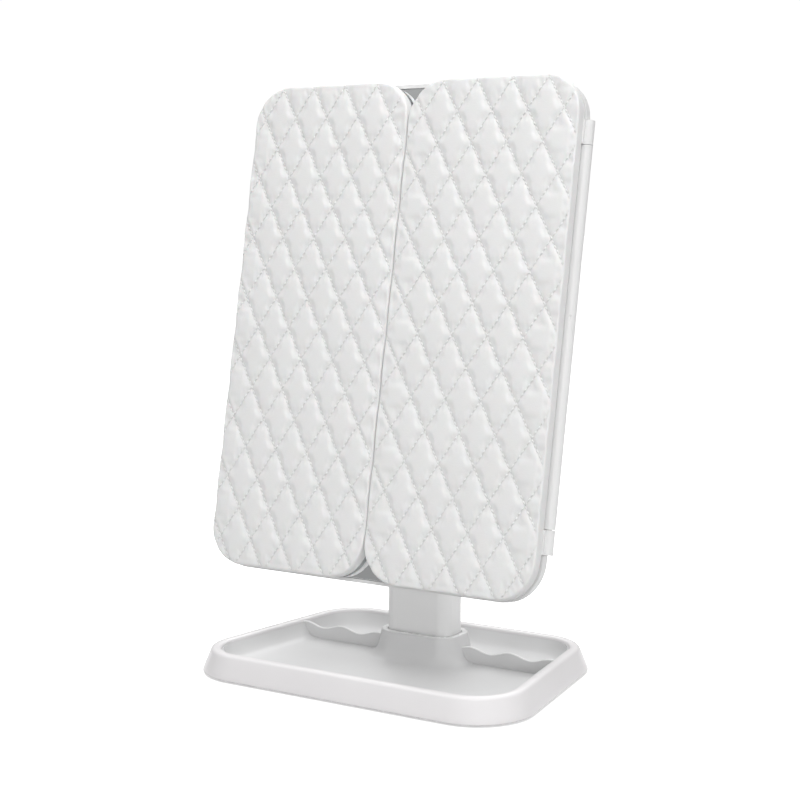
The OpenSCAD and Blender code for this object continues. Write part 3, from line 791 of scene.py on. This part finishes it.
def quilt_sheet(side):
    """Leather sheet in quads along the two directions of stitching, wrapped round the door.

    Gives the points, their places on the flat sheet, their grid numbers and the faces.
    """
    cx = side * DOOR_X
    x0, h0 = CROSSING[side]
    du, dv = LINE_U / GRID, LINE_V / GRID
    span = 2 * int(DOOR_H / CELL_H + 6) * GRID
    margin = 12
    flat, index = {}, {}
    for i in range(-span, span + 1):
        for j in range(-span, span + 1):
            x = x0 + i * du[0] + j * dv[0]
            h = h0 + i * du[1] + j * dv[1]
            if abs(x - cx) < DOOR_W / 2 + margin and -margin < h < DOOR_H + margin:
                flat[i, j] = (x, h)
    outs = {k: edge_distance(p[0], p[1], cx) for k, p in flat.items()}
    step = 0.55 * float(np.linalg.norm(du))
    inside = {k for k, (out, _) in outs.items() if out < SHEET_OUT - step}
    quads = []
    for i, j in flat:
        corners = [(i, j), (i + 1, j), (i + 1, j + 1), (i, j + 1)]
        if all(c in flat for c in corners) and any(c in inside for c in corners):
            quads.append(corners)
    verts, spots, keys = [], [], []
    for quad in quads:
        for key in quad:
            if key not in index:
                x, h = flat[key]
                out, way = outs[key]
                if key not in inside:
                    x -= way[0] * (out - SHEET_OUT)
                    h -= way[1] * (out - SHEET_OUT)
                index[key] = len(verts)
                verts.append(wrapped(x, h, cx))
                spots.append((x, h))
                keys.append(key)
    faces = [tuple(index[k] for k in quad) for quad in quads]
    return np.array(verts), np.array(spots), keys, faces


def fade(out):
    """1 on the front, falling to 0 where the leather has turned round the edge."""
    t = np.clip((out / WRAP_R - 0.4) / 1.15, 0, 1)
    return 1 - t * t * (3 - 2 * t)


def pillow(share):
    """Height of the padding at a share 0 to 1 of the way between two stitch lines."""
    return np.sin(np.pi * np.clip(share, 0, 1)) ** FULLNESS


def quilt_base(side):
    """The sheet as it goes into the simulation, and which of its points are pinned."""
    verts, spots, keys, faces = quilt_sheet(side)
    cx = side * DOOR_X
    out = np.array([edge_distance(x, h, cx)[0] for x, h in spots])
    share_u = np.array([k[0] % GRID / GRID for k in keys])
    share_v = np.array([k[1] % GRID / GRID for k in keys])
    soft = fade(out)
    sink = PUFF * (1 - PILLOW_SHARE * pillow(share_u) * pillow(share_v)) * soft + SEAM_DEPTH
    verts = verts + inwards(spots, cx) * sink[:, None]
    verts[:, 2] = np.minimum(verts[:, 2], SKIRT_D)
    stitched = (share_u == 0) | (share_v == 0)
    pinned = (stitched & (out < WRAP_R * 1.1)) | (out > WRAP_R * 1.5)
    return verts, spots, faces, pinned, out


def puffed(name, verts, faces, pinned):
    """The sheet blown up by cloth simulation between its stitch lines.

    It runs at ten times size, where the solver is steady.
    """
    mesh = bpy.data.meshes.new(name)
    co = np.column_stack([verts[:, 0], verts[:, 2], verts[:, 1]]) * SIM_SCALE
    mesh.from_pydata([tuple(v) for v in co], [], faces)
    bm = bmesh.new()
    bm.from_mesh(mesh)
    bmesh.ops.recalc_face_normals(bm, faces=bm.faces)
    bm.normal_update()
    front = max(bm.faces, key=lambda f: -f.calc_center_median().y)
    if front.normal.y > 0:
        bmesh.ops.reverse_faces(bm, faces=bm.faces)
    bm.to_mesh(mesh)
    bm.free()
    obj = bpy.data.objects.new(name, mesh)
    scene.collection.objects.link(obj)
    group = obj.vertex_groups.new(name="pins")
    group.add([int(i) for i in np.nonzero(pinned)[0]], 1.0, "REPLACE")
    cloth = obj.modifiers.new("puff", "CLOTH")
    s = cloth.settings
    s.quality = 6
    s.mass = 0.3
    s.tension_stiffness = s.compression_stiffness = 20
    s.shear_stiffness = 8
    s.bending_stiffness = 0.35
    s.air_damping = 3
    s.vertex_group_mass = "pins"
    s.use_pressure = True
    s.uniform_pressure_force = 4
    s.shrink_min = -0.035
    s.effector_weights.gravity = 0
    cloth.collision_settings.use_collision = False
    cloth.collision_settings.use_self_collision = False
    cloth.point_cache.frame_start, cloth.point_cache.frame_end = 1, SIM_FRAMES
    for f in range(1, SIM_FRAMES + 1):
        scene.frame_set(f)
    moved, _ = evaluated(obj)
    bpy.data.objects.remove(obj)
    scene.frame_set(1)
    moved = moved / SIM_SCALE
    return np.column_stack([moved[:, 0], moved[:, 2], moved[:, 1]])


def hashed(*numbers):
    """A steady pseudo-random number from 0 to 1."""
    x = math.sin(sum(n * k for n, k in zip(numbers, (12.9898, 78.233, 37.719)))) * 43758.5453
    return x - math.floor(x)


def stitch_lines(side):
    """Every line of stitching as (family, number, point on it, way along it)."""
    crossing = np.array(CROSSING[side])
    lines = []
    for family, (along, across) in enumerate(((LINE_U, LINE_V), (LINE_V, LINE_U))):
        way = along / np.linalg.norm(along)
        for k in range(-40, 41):
            lines.append((family, k, crossing + k * across, way))
    return lines


def bell(gap, width):
    """1 on a stitch line, falling off to both sides."""
    return np.exp(-((gap / width) ** 2))


def puckers(spots, side):
    """Fine relief along the stitching: a pit at each needle hole, and creases that run off it.

    The second result is how deep in a needle hole each point is, from 0 to 1, with a faint floor
    all along the stitch line; it sets the painted shade of the leather there.
    """
    length = float(np.linalg.norm(LINE_U))
    inv = np.linalg.inv(np.column_stack([LINE_U, LINE_V]))
    ab = (spots - np.array(CROSSING[side])) @ inv.T
    cross = abs(LINE_U[0] * LINE_V[1] - LINE_U[1] * LINE_V[0]) / length
    relief = np.zeros(len(spots))
    hole = np.zeros(len(spots))
    for family in (0, 1):
        n = ab[:, 1 - family]
        line = np.round(n)
        gap = (n - line) * cross
        beat = ab[:, family] * length / STITCH_PITCH + LINE_PHASE * line
        wave = np.cos(2 * np.pi * beat)
        uneven = 0.75 + 0.5 * np.sin(3.1 * np.floor(beat + 0.5) + 1.7 * line)
        crease = np.exp(-np.abs(gap) / 1.9) * (1 - bell(gap, 0.5))
        relief -= 0.16 * bell(gap, 0.7) * (0.5 + 0.5 * wave)
        relief -= 0.16 * bell(gap, 0.55)
        relief += 0.075 * uneven * wave * crease
        pit = bell(gap, 0.55) * np.clip(wave, 0, 1) ** 2
        hole = np.maximum(hole, np.maximum(pit, 0.15 * bell(gap, 0.8)))
    return relief, hole


def subdivided(obj):
    """The mesh of obj after two rounds of subdivision."""
    sub = obj.modifiers.new("smooth", "SUBSURF")
    sub.levels = sub.render_levels = 2
    return applied(obj)


def open_edge(polys):
    """The points round the open edge of a sheet, in order."""
    sides = {(a, b) for poly in polys for a, b in zip(poly, poly[1:] + poly[:1])}
    following = {a: b for poly in polys for a, b in zip(poly, poly[1:] + poly[:1])
                 if (b, a) not in sides}
    start = next(iter(following))
    loop = [start]
    while following[loop[-1]] != start:
        loop.append(following[loop[-1]])
    return loop


def door_pad(side):
    """The leather cover of a door. Gives the points and faces of its outer side."""
    word = "left" if side < 0 else "right"
    verts, spots, faces, pinned, out = quilt_base(side)
    shift = puffed(word + "_puff", verts, faces, pinned) - verts
    size = np.maximum(np.linalg.norm(shift, axis=1), 1e-9)
    verts = verts + shift * np.minimum(1.0, LARGEST_MOVE / size)[:, None]
    verts[:, 2] = np.maximum(verts[:, 2], SHALLOWEST)
    cx = side * DOOR_X
    verts = kept_within(verts, cx)

    # The flat place of each point rides along as two attributes through the subdivision
    mesh = bpy.data.meshes.new(word + "_quilt")
    mesh.from_pydata([tuple(p) for p in verts], [], faces)
    flat = mesh.attributes.new("flat", "FLOAT_VECTOR", "POINT")
    flat.data.foreach_set("vector", np.column_stack([spots, out]).astype(np.float32).ravel())
    obj = bpy.data.objects.new(word + "_quilt", mesh)
    scene.collection.objects.link(obj)
    mesh = subdivided(obj)
    co, polys = points_and_faces(mesh)
    n = len(co)
    data = np.empty(n * 3, np.float32)
    mesh.attributes["flat"].data.foreach_get("vector", data)
    data = data.reshape(-1, 3).astype(float)
    spots, out = data[:, :2], data[:, 2]
    relief, hole = puckers(spots, side)
    co -= inwards(spots, cx) * (relief * fade(out))[:, None]
    co = kept_within(co, cx)
    bpy.data.objects.remove(obj)

    # Close the back: the hem turns in behind the edge and a flat face lies on the shell
    loop = open_edge(polys)
    rings = []
    for inset, d in ((0.15, SKIRT_D), (1.1, SKIRT_D - 0.02), (1.15, SHELL_D + 0.05)):
        ring = co[loop]
        for k, p in enumerate(ring):
            _, way = edge_distance(p[0], p[1], cx)
            ring[k, 0] -= way[0] * inset
            ring[k, 1] -= way[1] * inset
            ring[k, 2] = d
        rings.append(ring)
    outer_faces = len(polys)
    m = len(loop)
    last = loop
    for r in range(len(rings)):
        here = [n + r * m + k for k in range(m)]
        for k in range(m):
            polys.append((last[k], here[k], here[(k + 1) % m], last[(k + 1) % m]))
        last = here
    polys.append(tuple(last))
    world = on_head(np.vstack([co, *rings]))
    pad = new_piece(
        word + "_quilted_cover", world, polys, word + "_door", [LEATHER], 60
    )
    bm = bmesh.new()
    bm.from_mesh(pad.data)
    bmesh.ops.recalc_face_normals(bm, faces=bm.faces)
    bm.to_mesh(pad.data)
    bm.free()
    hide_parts(word + "_door_pad")
    # Painted shade along the stitching, strongest in the needle holes, read by the leather
    # material
    seam_shade = pad.data.attributes.new("seam_shade", "FLOAT", "POINT")
    depth = np.zeros(len(pad.data.vertices), np.float32)
    depth[:n] = hole * fade(out)
    seam_shade.data.foreach_set("value", depth)
    return co, polys[:outer_faces]


# A stitch along its length: height above the leather and radius, in mm
STITCH_LIFT = (-0.28, 0.16, 0.28, 0.16, -0.28)
STITCH_R = (0.2, 0.34, 0.38, 0.34, 0.2)
STITCH_SIDES = 6


def stitches(side, co, polys):
    """A short thread between each pair of needle holes, laid on the leather."""
    word = "left" if side < 0 else "right"
    cx = side * DOOR_X
    tree = BVHTree.FromPolygons([tuple(p) for p in co], polys)

    def on_leather(p):
        """The point on the leather over a place of the flat sheet, and its normal."""
        way = Vector(inwards([p], cx)[0])
        hit, normal, _, _ = tree.ray_cast(Vector(wrapped(p[0], p[1], cx)) - way * 3, way, 8)
        if hit is None:
            return None
        return hit, normal if normal.dot(way) < 0 else -normal

    verts, faces = [], []
    around = STITCH_SIDES
    for family, number, origin, along in stitch_lines(side):
        phase = (0.5 - LINE_PHASE * number) * STITCH_PITCH
        for k in range(-110, 111):
            middle = k * STITCH_PITCH + phase
            half = STITCH_PITCH * (0.36 + 0.03 * (hashed(number, k, family) - 0.5))
            a, b = origin + along * (middle - half), origin + along * (middle + half)
            if max(edge_distance(*a, cx)[0], edge_distance(*b, cx)[0]) > WRAP_R * 0.9:
                continue
            ends = [on_leather(a + (b - a) * t) for t in (0.0, 0.25, 0.5, 0.75, 1.0)]
            if any(e is None for e in ends):
                continue
            line = [e[0] + e[1] * z for e, z in zip(ends, STITCH_LIFT)]
            first = len(verts)
            for i, p in enumerate(line):
                way = (line[min(i + 1, 4)] - line[max(i - 1, 0)]).normalized()
                sideways = way.cross(ends[i][1]).normalized()
                up = sideways.cross(way)
                for q in range(around):
                    t = 2 * math.pi * q / around
                    out = sideways * math.cos(t) * 1.1 + up * math.sin(t)
                    verts.append(p + out * STITCH_R[i])
            for i in range(4):
                for q in range(around):
                    a0, a1 = first + i * around + q, first + i * around + (q + 1) % around
                    faces.append((a0, a1, a1 + around, a0 + around))
            faces.append(tuple(first + q for q in range(around - 1, -1, -1)))
            faces.append(tuple(first + 4 * around + q for q in range(around)))
    world = on_head(np.array([tuple(v) for v in verts]))
    new_piece(
        word + "_door_stitching", world, faces, word + "_door", [THREAD], 80
    )


for side in (-1, 1):
    stitches(side, *door_pad(side))


# ------------------------------------------------------------------ stage


def stage_floor():
    """Pale floor. It throws little light back up, so that the undersides stay soft grey."""
    n, half = 24, 30.0
    side = [-half + 2 * half * i / n for i in range(n + 1)]
    verts = [(x, y, -0.0002) for x in side for y in side]
    faces = []
    for i in range(n):
        for j in range(n):
            a = i * (n + 1) + j
            faces.append((a, a + n + 1, a + n + 2, a + 1))
    mesh = bpy.data.meshes.new("stage_floor")
    mesh.from_pydata(verts, [], faces)
    obj = bpy.data.objects.new("stage_floor", mesh)
    scene.collection.objects.link(obj)
    p = Paint("Studio_floor", Roughness=0.9, Specular_IOR_Level=0.1)
    bounce = p.node("ShaderNodeLightPath").outputs["Is Diffuse Ray"]
    pale = p.node("ShaderNodeMix", data_type="RGBA")
    pale.inputs["B"].default_value = (0.35, 0.35, 0.35, 1)
    p.link(bounce, pale.inputs["Factor"])
    p.link(
        p.tint(p.noise(3, 2), 0.3, 0.7, (0.93, 0.93, 0.93), (0.95, 0.95, 0.95)),
        pale.inputs["A"],
    )
    p.colour(pale.outputs["Result"])
    p.bsdf.inputs["Emission Color"].default_value = (1, 1, 1, 1)
    p.link(p.ramp(bounce, 0, 1, 0.5, 0), p.bsdf.inputs["Emission Strength"])
    mesh.materials.append(p.mat)


stage_floor()


# Lights that the open mirrors would show as plain white panels
HIDDEN_FROM_MIRRORS = ("top", "front", "side")


def area_light(name, place, target, size, energy):
    """A rectangular lamp at a place, facing its target."""
    data = bpy.data.lights.new(name, "AREA")
    data.shape = "RECTANGLE"
    data.size, data.size_y = size
    data.energy = energy
    obj = bpy.data.objects.new(name, data)
    obj.location = place
    obj.rotation_euler = (Vector(target) - Vector(place)).to_track_quat("-Z", "Y").to_euler()
    obj.visible_glossy = name not in HIDDEN_FROM_MIRRORS
    scene.collection.objects.link(obj)


area_light("key", (0.25, -0.68, 1.12), (0, 0, 0.28), (0.7, 0.5), 3.6)
area_light("top", (0.0, 0.1, 1.9), (0, 0, 0.1), (1.4, 1.4), 10)
area_light("front", (1.0, -1.45, 0.3), (0, 0, 0.08), (0.9, 0.4), 7)
area_light("side", (1.9, -0.4, 0.5), (0, 0, 0.1), (0.8, 0.8), 3.8)
area_light("rear", (-0.6, 1.2, 1.2), (0, 0, 0.05), (0.9, 0.9), 7)


def studio_world():
    """Surroundings that light the scene from above and look white to the camera."""
    world = bpy.data.worlds.new("studio")
    scene.world = world
    world.use_nodes = True
    tree = world.node_tree

    # Grey from the horizon's level up to white overhead
    coords = tree.nodes.new("ShaderNodeTexCoord")
    upward = tree.nodes.new("ShaderNodeSeparateXYZ")
    sky = tree.nodes.new("ShaderNodeValToRGB")
    low, high = sky.color_ramp.elements
    low.position, low.color = 0.0, (0.3, 0.3, 0.3, 1)
    high.position, high.color = 0.9, (1, 1, 1, 1)
    sky.color_ramp.elements.new(0.35).color = (0.38, 0.38, 0.38, 1)
    background = tree.nodes["Background"]
    background.inputs["Strength"].default_value = 1.0
    tree.links.new(coords.outputs["Generated"], upward.inputs[0])
    tree.links.new(upward.outputs["Z"], sky.inputs["Fac"])
    tree.links.new(sky.outputs["Color"], background.inputs["Color"])

    # Plain white behind the object
    white = tree.nodes.new("ShaderNodeBackground")
    white.inputs["Color"].default_value = (1, 1, 1, 1)
    white.inputs["Strength"].default_value = 1.02
    path = tree.nodes.new("ShaderNodeLightPath")
    mix = tree.nodes.new("ShaderNodeMixShader")
    tree.links.new(path.outputs["Is Camera Ray"], mix.inputs["Fac"])
    tree.links.new(background.outputs[0], mix.inputs[1])
    tree.links.new(white.outputs[0], mix.inputs[2])
    tree.links.new(mix.outputs[0], tree.nodes["World Output"].inputs["Surface"])


studio_world()
scene.view_settings.view_transform = "Standard"

# The photo's view: 72 mm lens, 6.3 degrees down, 31.9 degrees round to the right
camera_data = bpy.data.cameras.new("camera")
camera_data.lens = 72
camera_data.sensor_width = 36
camera = bpy.data.objects.new("camera", camera_data)
camera.location = (0.4930, -0.7958, 0.2666)
camera.rotation_euler = (math.radians(90 - 6.3), 0, math.radians(31.9))
scene.collection.objects.link(camera)
scene.camera = camera
